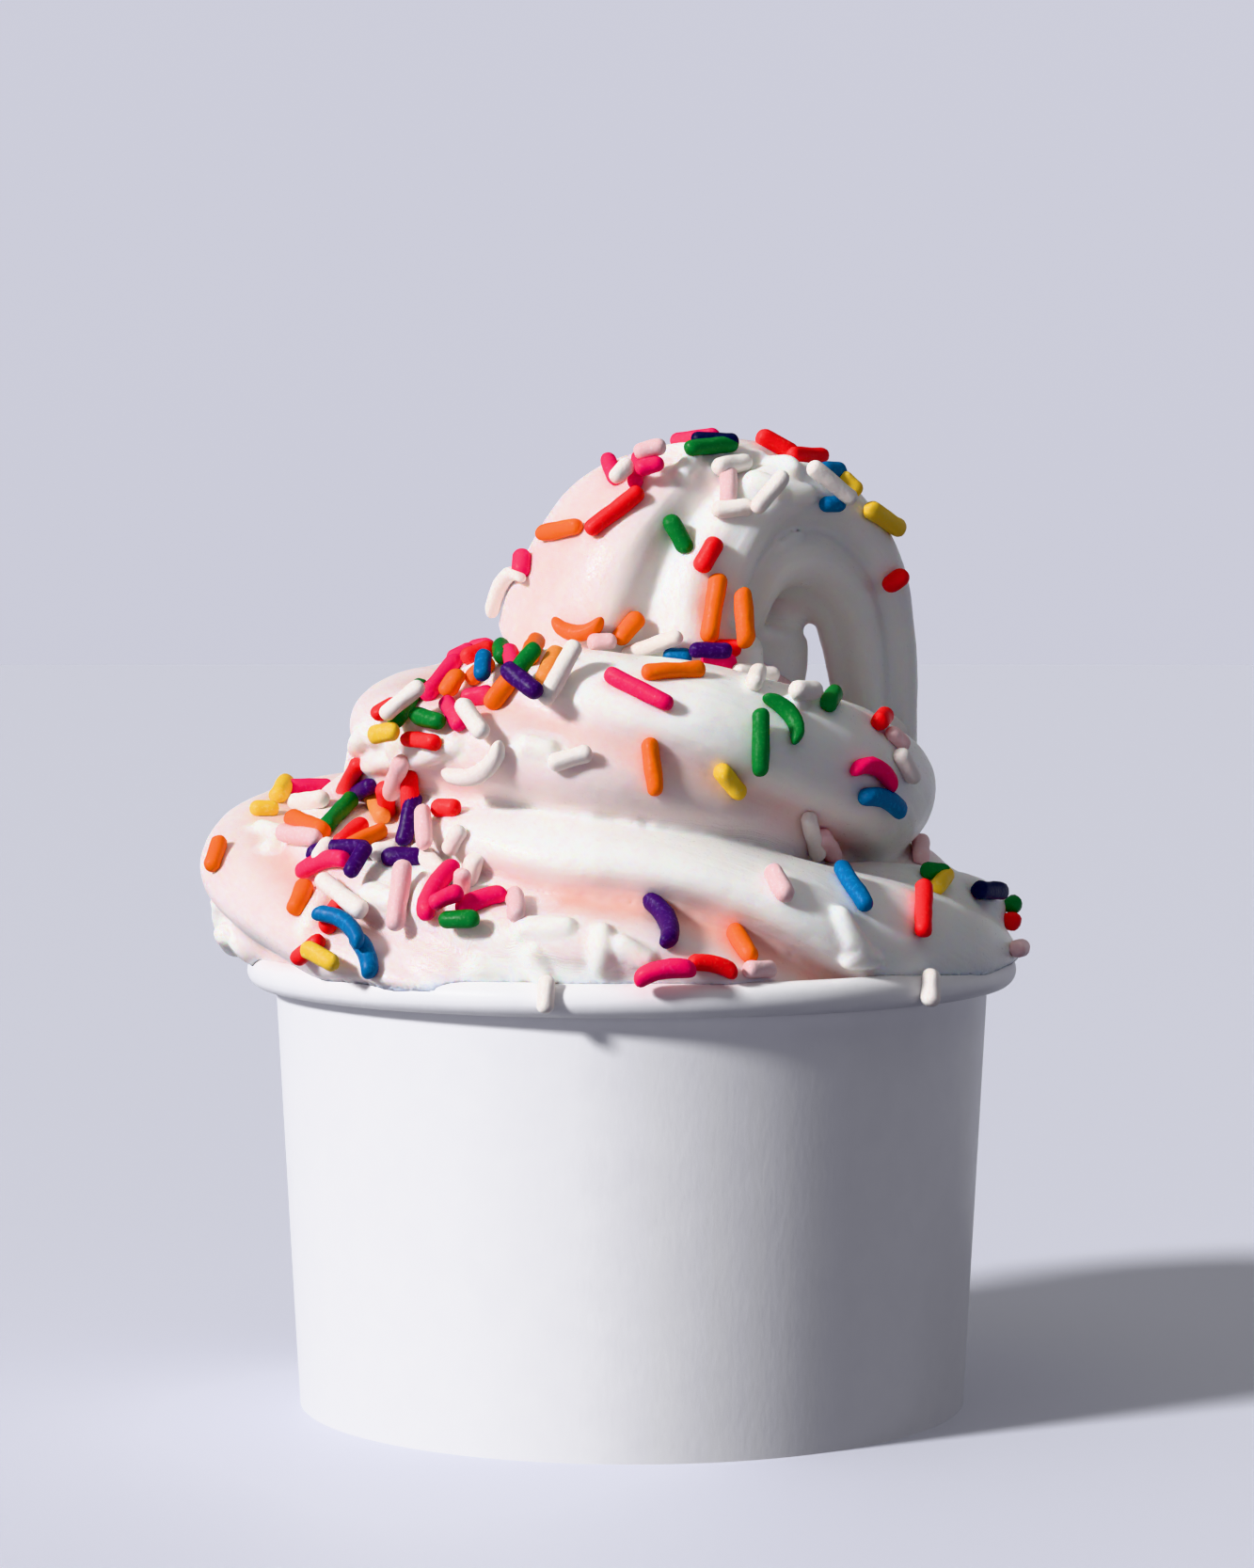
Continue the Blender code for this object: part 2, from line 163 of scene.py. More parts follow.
LUMPS = (  # middle, half sizes, turn about the upright in degrees, and share of pink
    ((-5.5, -36.2, 52.2), (7.6, 3.6, 4.8), 0, 0.1),
    ((-19.0, -32.4, 51.4), (9.6, 5.4, 5.6), -28, 0.9),
    ((-43.2, -6.0, 52.2), (3.6, 5.4, 3.4), 0, 0.6),
)
LUMP_EDGE = 1.12  # how far a lump's own colour reaches, as a share of its size
LUMP_DETAIL = 4

# Its skin.
VOXEL = 0.5
SKIN_SMOOTHING = 12
SMOOTH_SHARE = 0.5
REMESH_TURN = (0.6, 0.5, 0.4)  # voxels that lie askew, so that no crease runs along them in steps
WAVES = ((11.0, 0.35), (3.2, 0.07), (1.1, 0.02))  # size and height of its unevenness
PINK_MIDDLE_DEG = 172.0
CURL_PINK_MIDDLE_DEG = 160.0
PINK_HALF_DEG = 91.0
PINK_EDGE_DEG = 9.0
PINK_BLUR = 6
BLUR_SHARE = 0.6
# Shares above this one darken the pink as painted shade in the grooves; the next is the groove depth, as a
# share of the half width, where that shade is full.
PINK_OPEN = 0.62  # the share of pink out of the grooves
GROOVE_SHADE_DEPTH = 0.25
COAT_PALE = 0.3
STREAK_LENGTH = 60.0
STREAK_BLUR = 8

# Sprinkles that lie under a skin of ice cream, as the photograph shows them: the middle's column and row
# and the tilt in degrees, positive where the right end is higher, then the length in pixels and the bend.
COATED = (
    (578, 982, 0, 64, 0), (638, 1010, 88, 68, 0), (674, 1012, -32, 52, 0), (526, 1036, -18, 62, 0),
    (570, 1034, -62, 54, 0), (335, 962, 62, 48, 0), (400, 950, -20, 42, 0),
    (449, 942, 75, 46, 0), (229, 978, 75, 46, 0),
    (237, 1004, 80, 42, 0), (376, 790, 60, 40, 0), (402, 774, 35, 46, 0), (370, 812, 80, 34, 0),
    (398, 815, 10, 38, 0), (416, 808, -70, 40, 0), (442, 810, 20, 40, 0), (463, 798, 0, 0, 0),
    (716, 482, -50, 58, 0.12), (820, 490, -42, 76, 0.16), (817, 510, -25, 46, 0), (852, 520, -20, 42, 0),
    (838, 570, 25, 34, 0), (858, 734, 28, 56, 0), (905, 985, -65, 52, 0), (916, 1004, -60, 60, 0),
    (918, 1026, 0, 44, 0), (284, 884, -65, 54, 0.1), (571, 791, -10, 42, 0), (497, 712, 30, 30, 0),
)
COAT_REACH = 1.2
COAT_HEIGHT = 0.95
COAT_STEP = 0.4
COAT_BLUR = 1
COAT_BLUR_SHARE = 0.5
COAT_LEAST = 0.1

# Sprinkles that lie clear of it, in the same way. A length of 0 is one that points at the camera.
SPRINKLES = {
    "red": (
        (653, 543, 37, 76, 0), (753, 590, 60, 42, 0), (773, 689, 0, 26, 0), (412, 752, 40, 36, 0),
        (508, 694, 20, 40, 0), (447, 787, 0, 30, 0), (374, 828, 57, 62, 0), (411, 858, -75, 60, 0),
        (442, 841, -65, 52, 0), (474, 859, 0, 30, 0), (373, 885, 40, 38, 0), (355, 971, 60, 40, 0),
        (327, 1010, 42, 38, 0), (757, 1030, -12, 56, 0.1), (982, 965, 90, 74, 0), (938, 764, 0, 0, 0),
        (826, 472, -30, 48, 0), (858, 484, 5, 42, 0), (1077, 983, 0, 0, 0), (952, 617, 35, 30, 0),
    ),
    "orange": (
        (594, 563, 8, 50, 0), (614, 660, 0, 54, -0.22), (668, 668, 50, 42, 0), (757, 647, 82, 75, 0),
        (779, 668, -70, 58, 0), (716, 712, 5, 68, 0), (567, 690, 70, 26, 0), (533, 736, 55, 46, 0),
        (508, 715, 40, 36, 0), (490, 728, 70, 34, 0), (694, 815, -80, 60, 0), (327, 877, -22, 56, 0),
        (229, 907, 70, 34, 0), (389, 890, 25, 46, 0), (319, 954, 65, 34, 0), (789, 1003, -55, 42, 0),
    ),
    "magenta": (
        (739, 466, 0, 50, 0), (650, 498, 0, 0, 0), (677, 499, 80, 32, 0), (694, 507, 15, 32, 0),
        (555, 599, 85, 28, 0), (518, 675, 0, 26, 0), (679, 732, -27, 80, 0), (760, 702, -8, 38, 0),
        (545, 706, -80, 34, 0), (481, 758, -60, 34, 0), (508, 740, 10, 36, 0), (470, 724, 45, 60, 0),
        (490, 695, 30, 32, 0), (329, 836, 0, 48, 0), (342, 923, 15, 62, 0.1), (468, 947, 55, 60, 0.1),
        (512, 959, 18, 58, 0.1), (480, 965, 25, 40, 0), (707, 1031, 8, 68, 0.1), (929, 829, -25, 48, 0.2),
    ),
    "green": (
        (719, 568, -65, 46, 0), (755, 475, 12, 58, 0), (534, 693, 0, 0, 0), (565, 714, 50, 40, 0),
        (433, 747, 60, 66, 0), (458, 767, -15, 36, 0), (360, 863, 45, 44, 0), (491, 982, 0, 44, 0),
        (809, 789, -87, 72, 0), (830, 764, -55, 62, 0.25), (884, 742, 0, 0, 0), (994, 926, 0, 26, 0),
        (1077, 962, 0, 0, 0),
    ),
    "blue": (
        (522, 717, 85, 30, 0), (719, 698, 0, 32, 0), (364, 999, -35, 60, 0.15), (384, 1016, -70, 46, 0.1),
        (907, 941, -58, 58, 0), (937, 856, -22, 48, 0.1), (884, 501, 0, 26, 0), (886, 535, 0, 24, 0),
    ),
    "purple": (
        (748, 689, 0, 46, 0), (570, 735, 0, 0, 0), (385, 840, 0, 0, 0), (434, 871, 90, 60, 0),
        (359, 906, 0, 80, 0.1), (386, 924, 60, 40, 0), (428, 911, 0, 46, 0), (698, 979, -65, 60, 0.15),
    ),
    "navy": ((1052, 947, 0, 44, 0), (760, 468, 0, 52, 0)),
    "yellow": (
        (417, 788, 0, 38, 0), (281, 859, 0, 32, 0), (300, 839, 60, 30, 0), (776, 831, -50, 40, 0),
        (351, 1018, -30, 42, 0), (1001, 937, 0, 0, 0), (940, 552, -38, 42, 0), (903, 515, -45, 32, 0),
    ),
    "peach": ((585, 708, 60, 36, 0), (399, 856, -65, 56, 0)),
    "white": (
        (537, 635, 50, 78, 0.3), (700, 687, 22, 60, 0), (597, 720, 58, 72, 0), (507, 770, -55, 48, 0),
        (502, 807, 28, 78, -0.2), (606, 806, 15, 50, 0), (804, 719, 0, 0, 0), (791, 714, 0, 0, 0),
        (856, 734, 0, 30, 0), (951, 772, -50, 28, 0), (965, 814, -62, 40, 0), (865, 890, -75, 48, 0),
        (989, 1050, 85, 42, 0), (369, 951, -37, 94, 0), (457, 915, -45, 42, 0), (580, 1057, 88, 42, 0),
        (778, 494, 10, 42, 0), (778, 540, 5, 46, 0), (812, 531, 0, 0, 0), (876, 516, -38, 64, 0),
        (444, 760, 40, 58, 0), (328, 851, 0, 42, 0), (668, 516, 45, 28, 0), (345, 905, 60, 30, 0),
        (482, 893, 60, 34, 0), (505, 925, 80, 40, 0), (408, 905, 10, 30, 0),
    ),
    "pale_pink": (
        (639, 681, 0, 30, 0), (822, 722, 0, 0, 0), (458, 880, -78, 50, 0), (425, 950, 82, 76, 0),
        (510, 925, 85, 32, 0), (548, 961, 0, 0, 0), (979, 903, 88, 48, 0), (828, 939, -60, 40, 0),
        (880, 900, -60, 28, 0), (774, 515, 85, 34, 0), (955, 785, -40, 28, 0), (318, 888, -10, 46, 0),
        (808, 1030, 0, 32, 0), (420, 826, 75, 36, 0), (697, 498, 15, 36, 0), (1084, 1008, 0, 0, 0),
    ),
}
SPRINKLE_COLOURS = {  # at full light, with the lighter colour of the sugar's specks
    "red": ((0.98, 0.008, 0.010), (1.0, 0.09, 0.08)),
    "orange": ((1.0, 0.16, 0.001), (1.0, 0.25, 0.02)),
    "magenta": ((0.98, 0.003, 0.115), (1.0, 0.10, 0.28)),
    "green": ((0.008, 0.19, 0.032), (0.07, 0.32, 0.10)),
    "blue": ((0.003, 0.14, 0.36), (0.03, 0.30, 0.60)),
    "purple": ((0.045, 0.008, 0.12), (0.18, 0.09, 0.34)),
    "navy": ((0.006, 0.008, 0.05), (0.04, 0.05, 0.14)),
    "yellow": ((0.98, 0.62, 0.07), (1.0, 0.76, 0.28)),
    "peach": ((0.98, 0.33, 0.08), (1.0, 0.52, 0.22)),
    "white": ((0.93, 0.87, 0.82), (0.97, 0.95, 0.93)),
    "pale_pink": ((0.93, 0.63, 0.64), (0.97, 0.80, 0.81)),
}
SPRINKLE_RADIUS = 1.0
SPRINKLE_SIDES = 16
SPRINKLE_GROWTH = (0.9, 1.08)  # range of a rod's radius, as a share
SPRINKLE_SINK = 0.32
SPRINKLE_MOST = 8.6
SPRINKLE_LEAST = 3.4
SPRINKLE_CLEAR = 1.9  # how near two may lie, axis to axis
SPRINKLE_LIFT = 3.2  # how far one may be raised to lie on others
LIFT_STEP = 0.25
SPRINKLE_SPOTS = 5
SPRINKLE_UNEVEN = 0.16
UNEVEN_PER_MM = 0.5
ROD_TIP_DEG = (8, 24, 42, 62, 82)
ROD_TIP_REACH = 0.95
ROD_TIP_POWER = 0.85
ROD_BODY = (0.7, 0.35, 0.0, -0.35, -0.7)
END_ON_LENGTH = 0.7  # length of one that points at the camera, as a share of the longest
BED_REACH = 1.8  # how far above and below its place a rod's ends look for the surface
SPRINKLE_FACING = 0.55  # least share of the surface's normal towards the camera where one is raised
SLANT_LEAST = 0.25  # the same, where its length is worked out
SIGHTINGS = 4
MISS_REACH = 50  # how far before and behind the axis the surface is looked for beside a line that misses it
MISS_STEP = 2
# Showers for the sides that the photograph doesn't show: from, towards, spread and number.
SHOWERS = (
    ((-60, 130, 160), (-20, 16, 72), 15.0, 70),
    ((-150, 60, 130), (-36, 14, 62), 9.0, 26),
    ((40, 160, 140), (14, 26, 66), 15.0, 34),
    ((110, 60, 130), (30, 14, 62), 11.0, 14),
    ((10, 80, 220), (10, 8, 106), 8.0, 18),
)
SHOWER_TRIES = 6
SHOWER_LENGTHS = (4.2, 8.0)
SHOWER_BENDS = (0, 0, 0, 0.08, -0.12)
HIDDEN_STEP_DEG = 60
SEED = 11

# Studio.
KEY_FROM = (-0.742, -0.468, 0.485)
KEY_ANGLE_DEG = 9.0
KEY_STRENGTH = 3.9
SKY_LIFT = 0.2
FLOOR_RADIUS = 6000.0
FLOOR_SIDES = 96
FLOOR_ROUGHNESS = 0.6
FLOOR_COLOUR = (0.75, 0.758, 0.85)
SKY = (  # how high a direction points, and the studio's colour there
    (-0.05, (0.63, 0.635, 0.725)),
    (0.15, (0.65, 0.655, 0.745)),
    (0.30, (0.05, 0.05, 0.06)),
    (0.62, (0.05, 0.05, 0.06)),
    (0.78, (0.55, 0.55, 0.54)),
)
# What the floor throws back: the heights between which it fades in, how far directions point towards the
# lamp where it fades from shade to full light, and its colour in each.
BOUNCE_HEIGHTS = (-0.05, -0.10)
BOUNCE_EDGES = (-0.2, 0.8)
BOUNCE_SHADED = (0.035, 0.035, 0.055)
BOUNCE_LIT = (0.24, 0.24, 0.29)

# Materials. A noise is given by its scale, per metre or per radian round the rope, and its detail, and
# where it raises the surface, by a height in metres.
WHITE_CREAM = (0.96, 0.955, 0.905)
PINK_CREAM = (0.955, 0.775, 0.77)
# The grooves' pink: a stronger pink, darkened further as painted shade.
GROOVE_PINK_AND_SHADE = (0.95, 0.54, 0.46)
CLEAR_CREAM = (0.95, 0.91, 0.85)
CREAM_MOTTLE = (420, 3.0)
MOTTLE_SHARE = 0.22
CREAM_STREAKS = (7, 2.0)
CREAM_STREAKS_HEIGHT = 0.00015
CREAM_GRAIN = (700, 2.0)
CREAM_GRAIN_HEIGHT = 0.00005
CREAM_ICE = (2600, 3.0)
CREAM_ICE_HEIGHT = 0.000025
CREAM_ROUGHNESS = (0.26, 0.48)
CREAM_SOCKETS = {
    "Specular IOR Level": 0.4,
    "Subsurface Weight": 0.8,
    "Subsurface Radius": (1.0, 0.65, 0.4),
    "Subsurface Scale": 0.0014,
}
PAPER_COLOUR = (0.93, 0.925, 0.93)
PAPER_SHADE = (0.90, 0.895, 0.905)
PAPER_CLOUD = (260, 3.0)
PAPER_FIBRES = (1500, 4.0, (1.0, 1.0, 0.35))
PAPER_FIBRES_HEIGHT = 0.00002
PAPER_ROUGHNESS = (0.36, 0.5)
PAPER_SOCKETS = {"Coat Weight": 0.15, "Coat Roughness": 0.3}
SUGAR_SPECKS = (2600, 2.0)
SUGAR_SPECKS_HEIGHT = 0.00004
SPECKS_SHARE = 0.6
SPECKS_RANGE = (0.53, 0.73)
SUGAR_GRAIN = (900, 2.0)
SUGAR_GRAIN_HEIGHT = 0.00006
SUGAR_ROUGHNESS = (0.38, 0.56)
SUGAR_SOCKETS = {"Specular IOR Level": 0.25, "Subsurface Weight": 0.12, "Subsurface Scale": 0.0005}

low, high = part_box("cup_wall")
AXIS = Vector(((low.x + high.x) / 2, (low.y + high.y) / 2, low.z))
TO_FRAME = Matrix.Translation(AXIS) @ Matrix.Scale(MM, 4)


def object_from(name, shape):
    """An object of a bmesh, with its faces turned outwards."""
    bmesh.ops.recalc_face_normals(shape, faces=shape.faces)
    mesh = bpy.data.meshes.new(name)
    shape.to_mesh(mesh)
    shape.free()
    made = bpy.data.objects.new(name, mesh)
    bpy.context.scene.collection.objects.link(made)
    return made


def applied(made):
    """Applies the object's modifiers."""
    graph = bpy.context.evaluated_depsgraph_get()
    mesh = bpy.data.meshes.new_from_object(made.evaluated_get(graph))
    made.modifiers.clear()
    made.data = mesh


def turned(name, outline, sides):
    """An outline of radii and heights, spun round the axis."""
    shape = bmesh.new()
    corners = [shape.verts.new((radius, 0, height)) for radius, height in outline]
    edges = [shape.edges.new((a, b)) for a, b in zip(corners, corners[1:] + corners[:1])]
    bmesh.ops.spin(
        shape, geom=corners + edges, cent=(0, 0, 0), axis=UP, angle=math.tau, steps=sides, use_merge=True
    )
    bmesh.ops.remove_doubles(shape, verts=shape.verts, dist=MERGE)
    bmesh.ops.dissolve_degenerate(shape, edges=shape.edges, dist=MERGE)
    return object_from(name, shape)


def roll_centre():
    return RIM_RADIUS - ROLL_RADIUS, CUP_HEIGHT - ROLL_RADIUS


def wall_radius(height, inset=0.0):
    top_radius = RIM_RADIUS - 2 * ROLL_RADIUS + PAPER
    return FOOT_RADIUS + (top_radius - FOOT_RADIUS) * height / roll_centre()[1] - inset


def roll_arc(radius, start_deg, stop_deg):
    across, height = roll_centre()
    steps = round(abs(stop_deg - start_deg) / ROLL_STEP_DEG)
    angles = [math.radians(start_deg + (stop_deg - start_deg) * n / steps) for n in range(steps + 1)]
    return [(across + radius * math.cos(a), height + radius * math.sin(a)) for a in angles]


def cup_wall():
    leaf = 2 * (PAPER + GAP)
    outline = [
        (wall_radius(0), 0.0),
        *roll_arc(ROLL_RADIUS - PAPER, 180, ROLL_END_DEG),
        *reversed(roll_arc(ROLL_RADIUS, 180, ROLL_END_DEG)),
        (wall_radius(PAPER, PAPER), PAPER),
        (wall_radius(PAPER, leaf), PAPER),
        (wall_radius(FOLD_HEIGHT, leaf), FOLD_HEIGHT),
        (wall_radius(FOLD_HEIGHT, leaf + PAPER), FOLD_HEIGHT),
        (wall_radius(0, leaf + PAPER), 0.0),
    ]
    return turned("paper_wall", outline, CUP_SIDES)


def cup_disc():
    """The cup's floor, with the skirt that the wall's fold holds."""
    outer, inner = PAPER + GAP, 2 * PAPER + GAP
    low = PAPER + GAP
    under = DISC_HEIGHT - PAPER
    outline = [
        (0.0, DISC_HEIGHT),
        (wall_radius(DISC_HEIGHT, outer + PAPER), DISC_HEIGHT),
        (wall_radius(under, outer), under),
        (wall_radius(low, outer), low),
        (wall_radius(low, inner), low),
        (wall_radius(under - PAPER, inner), under - PAPER),
        (wall_radius(under, inner + PAPER), under),
        (0.0, under),
    ]
    return turned("paper_floor", outline, CUP_SIDES)


def smooth_through(rows):
    """A Catmull-Rom curve through the rows."""
    rows = np.array(rows, float)
    ends = np.vstack([2 * rows[0] - rows[1], rows, 2 * rows[-1] - rows[-2]])
    steps = np.linspace(0, 1, SPAN_STEPS, endpoint=False)[:, None]
    spans = [
        start
        + 0.5 * steps * (stop - before)
        + steps**2 * (before - 2.5 * start + 2 * stop - 0.5 * after)
        + steps**3 * (1.5 * (start - stop) + 0.5 * (after - before))
        for before, start, stop, after in zip(ends, ends[1:], ends[2:], ends[3:])
    ]
    return np.vstack([*spans, rows[-1:]])


def evenly(rows, spacing):
    """The rows, taken again at even steps along the curve."""
    moves = np.linalg.norm(np.diff(rows[:, :3], axis=0), axis=1)
    travelled = np.concatenate([[0], np.cumsum(moves)])
    stops = np.linspace(0, travelled[-1], round(travelled[-1] / spacing) + 1)
    return np.stack([np.interp(stops, travelled, column) for column in rows.T], axis=1)


def rope_rows(spacing):
    polar = smooth_through(COIL)
    turns = np.arange(COIL[0][0], COIL[-1][0] - 1, -COIL_STEP_DEG)
    columns = (np.interp(-turns, -polar[:, 0], column) for column in polar.T[1:])
    rows = [
        (r * math.cos(math.radians(t)), r * math.sin(math.radians(t)), z, COIL_HALF_WIDTH, twist, depth, 0.0)
        for t, r, z, twist, depth in zip(turns, *columns)
    ]
    rows += [(*row, min(1.0, count / ROUNDING_ROWS)) for count, row in enumerate(CURL, start=1)]
    return evenly(smooth_through(rows), spacing)


def nozzle_turns(centres):
    """The nozzle's turn at each centre, without a spin of its own where the rope leans over."""
    moves = np.gradient(centres, axis=0)
    tangents = [Vector(move).normalized() for move in moves]
    upright = max(range(len(tangents)), key=lambda n: tangents[n].z)
    turns = [UP.rotation_difference(tangent).to_matrix() for tangent in tangents[: upright + 1]]
    for before, tangent in zip(tangents[upright:], tangents[upright + 1 :]):
        turns.append(before.rotation_difference(tangent).to_matrix() @ turns[-1])
    return turns


AZIMUTHS = np.linspace(0, math.tau, ROPE_SIDES, endpoint=False)


def dips(azimuths, grooves):
    """How far the grooves reach in, as a share of the half width."""
    total = 0
    for middle, depth, width in grooves:
        off = (np.degrees(azimuths) - middle + 180) % 360 - 180
        total = total + depth * np.exp(-((off / width) ** 2))
    return total


def ring(centre, turn, half_width, twist, depth, curled):
    """The rope's grooved section at a centre: flattened in the coil, round in the curl."""
    turn = np.array(turn)
    along = turn[:, 2]
    upward = np.array(UP) - along * along[2]
    upward = upward / np.linalg.norm(upward) if np.linalg.norm(upward) > MERGE else turn[:, 0]
    flattened = (1 - COIL_HALF_HEIGHT / COIL_HALF_WIDTH) * (1 - curled)
    nozzle = AZIMUTHS - math.radians(twist)
    coil, curl = dips(nozzle, COIL_GROOVES), dips(nozzle, CURL_GROOVES)
    reach = half_width * (1 - depth * (coil * (1 - curled) + curl * curled))
    flat = np.stack([reach * np.cos(AZIMUTHS), reach * np.sin(AZIMUTHS), 0 * AZIMUTHS], axis=1)
    points = flat @ turn.T
    points -= np.outer(points @ upward, upward) * flattened
    return points + np.array(centre)


def bends(centres):
    """For each centre, the bend's inverse radius, as a vector towards its middle."""
    moves = np.gradient(centres, axis=0)
    lengths = np.linalg.norm(moves, axis=1)[:, None]
    return np.gradient(moves / lengths, axis=0) / lengths


def kept_back(points, centre, bend):
    """The ring's points, drawn back where they would pass the middle of the bend."""
    sharpness = max(np.linalg.norm(bend), MERGE)
    inward = bend / sharpness
    past = np.clip((points - centre) @ inward - BEND_SHARE / sharpness, 0, None)
    return points - np.outer(past, inward)


def rope_rings():
    """The rope's rings, and the row and the turn that each follows."""
    rows = rope_rows(RING_SPACING)
    centres = rows[:, :3]
    turns = nozzle_turns(centres)
    rings = [ring(row[:3], turn, *row[3:]) for row, turn in zip(rows, turns)]
    rings = [kept_back(*three) for three in zip(rings, centres, bends(centres))]
    x, y, z, half, twist, depth, curled = rows[-1]
    for ahead, share in TIP_RINGS:
        centre = Vector((x, y, z)) + (turns[-1] @ UP) * half * ahead
        rings.append(ring(centre, turns[-1], half * share, twist, depth, curled))
    more = len(TIP_RINGS)
    return rings, np.vstack([rows, *[rows[-1:]] * more]), turns + [turns[-1]] * more


def tube(name, rings):
    shape = bmesh.new()
    corners = [[shape.verts.new(point) for point in one] for one in rings]
    for below, above in zip(corners, corners[1:]):
        for n in range(len(below)):
            shape.faces.new((below[n - 1], below[n], above[n], above[n - 1]))
    shape.faces.new(corners[0])
    shape.faces.new(corners[-1])
    return object_from(name, shape)


def core():
    low = DISC_HEIGHT + GAP
    inset = PAPER + GAP
    outline = [
        (0.0, low),
        (wall_radius(low, inset), low),
        (wall_radius(CORE_SHOULDER, inset), CORE_SHOULDER),
        *CORE,
        (0.0, CORE[-1][1]),
    ]
    return turned("core", outline, CORE_SIDES)


def fold():
    """A capsule between two points."""
    start, stop, radius = Vector(FOLD[0]), Vector(FOLD[1]), FOLD[2]
    half = (stop - start).length / 2
    outline = [(0.0, -radius - half)]
    for n in range(1, FOLD_STEPS):
        angle = math.pi * n / FOLD_STEPS - math.pi / 2
        end = math.copysign(half, angle or 1)
        outline.append((radius * math.cos(angle), radius * math.sin(angle) + end))
    outline.append((0.0, radius + half))
    made = turned("fold", outline, 4 * FOLD_STEPS)
    turn = UP.rotation_difference(stop - start).to_matrix().to_4x4()
    made.data.transform(Matrix.Translation((start + stop) / 2) @ turn)
    return made


def cup_clearance():
    """What the cup and the air outside its wall take out of the ice cream."""
    middle = roll_centre()[1]
    outline = [
        (wall_radius(0, PAPER - TOUCH), 0.0),
        *roll_arc(ROLL_RADIUS - TOUCH, 180, 0),
        (RIM_RADIUS + CUTTER_REACH, middle),
        (RIM_RADIUS + CUTTER_REACH, 0.0),
    ]
    return turned("cup_clearance", outline, CUP_SIDES)


def joined(name, pieces):
    """One mesh of several, without a Boolean."""
    shape = bmesh.new()
    for piece in pieces:
        shape.from_mesh(piece.data)
        bpy.data.objects.remove(piece)
    mesh = bpy.data.meshes.new(name)
    shape.to_mesh(mesh)
    shape.free()
    made = bpy.data.objects.new(name, mesh)
    bpy.context.scene.collection.objects.link(made)
    return made


def points_of(mesh):
    points = np.empty(len(mesh.vertices) * 3)
    mesh.vertices.foreach_get("co", points)
    return points.reshape(-1, 3)


def tuck_in(made):
    """Rounds the overhang off where it comes down on the rim."""
    mesh = made.data
    points = points_of(mesh)
    reach = np.hypot(points[:, 0], points[:, 1])
    rise = np.clip(points[:, 2] - RIM_TOP, 0, None)
    most = RIM_RADIUS - RIM_INSET + OVERHANG * np.sqrt(rise)
    low = points[:, 2] < RIM_TOP + OVERHANG_HEIGHT
    share = np.where(low & (reach > most), most / np.maximum(reach, MERGE), 1.0)
    points[:, :2] *= share[:, None]
    mesh.vertices.foreach_set("co", points.ravel())
    mesh.update()


def roughen(made):
    """Moves the skin out and in by soft noise."""
    mesh = made.data
    points = points_of(mesh)
    normals = np.empty(len(mesh.vertices) * 3)
    mesh.vertices.foreach_get("normal", normals)
    normals = normals.reshape(-1, 3)
    for n, point in enumerate(points):
        place = Vector(point)
        points[n] += normals[n] * sum(height * noise.noise(place / size) for size, height in WAVES)
    mesh.vertices.foreach_set("co", points.ravel())
    mesh.update()


def lump(middle, sizes, turn):
    shape = bmesh.new()
    bmesh.ops.create_icosphere(shape, subdivisions=LUMP_DETAIL, radius=1.0)
    place = Matrix.Translation(middle) @ Matrix.Rotation(math.radians(turn), 4, "Z")
    place = place @ Matrix.Diagonal((*sizes, 1))
    bmesh.ops.transform(shape, matrix=place, verts=shape.verts)
    return object_from("lump", shape)


def neighbours_mean(mesh, values, share, times):
    """Blurs a value of each vertex with those next to it."""
    ends = np.empty(len(mesh.edges) * 2, np.int32)
    mesh.edges.foreach_get("vertices", ends)
    one, other = ends.reshape(-1, 2).T
    count = np.maximum(np.bincount(ends, minlength=len(values)), 1)
    for _ in range(times):
        total = np.bincount(one, values[other], len(values)) + np.bincount(other, values[one], len(values))
        values = (1 - share) * values + share * total / count
    return values


def coated_spots(tree):
    """Points along the middle of each coated sprinkle, on the skin."""
    spots = []
    for row in COATED:
        place, normal, along, length, bend = seen(tree, row)
        along = (along - normal * along.dot(normal)).normalized()
        side = normal.cross(along)
        half = max(min(length, SPRINKLE_MOST) / 2 - SPRINKLE_RADIUS, COAT_LEAST)
        for n in range(math.ceil(2 * half / COAT_STEP) + 1):
            share = min(1.0, n * COAT_STEP / half - 1)
            spot = place + along * half * share + side * bend * length * (1 - share**2)
            spots.append(tree.find_nearest(spot)[0])
    return np.array(spots)


def raise_coated(heap, spots):
    """Raises the skin over each coated sprinkle."""
    mesh = heap.data
    points = points_of(mesh)
    tree = tree_of(spots)
    reach = np.array([tree.find(point)[2] for point in points]) / COAT_REACH
    height = COAT_HEIGHT * np.sqrt(np.clip(1 - reach**2, 0, 1))
    height = neighbours_mean(mesh, height, COAT_BLUR_SHARE, COAT_BLUR)
    normals = np.empty(len(points) * 3)
    mesh.vertices.foreach_get("normal", normals)
    points += normals.reshape(-1, 3) * height[:, None]
    mesh.vertices.foreach_set("co", points.ravel())
    mesh.update()


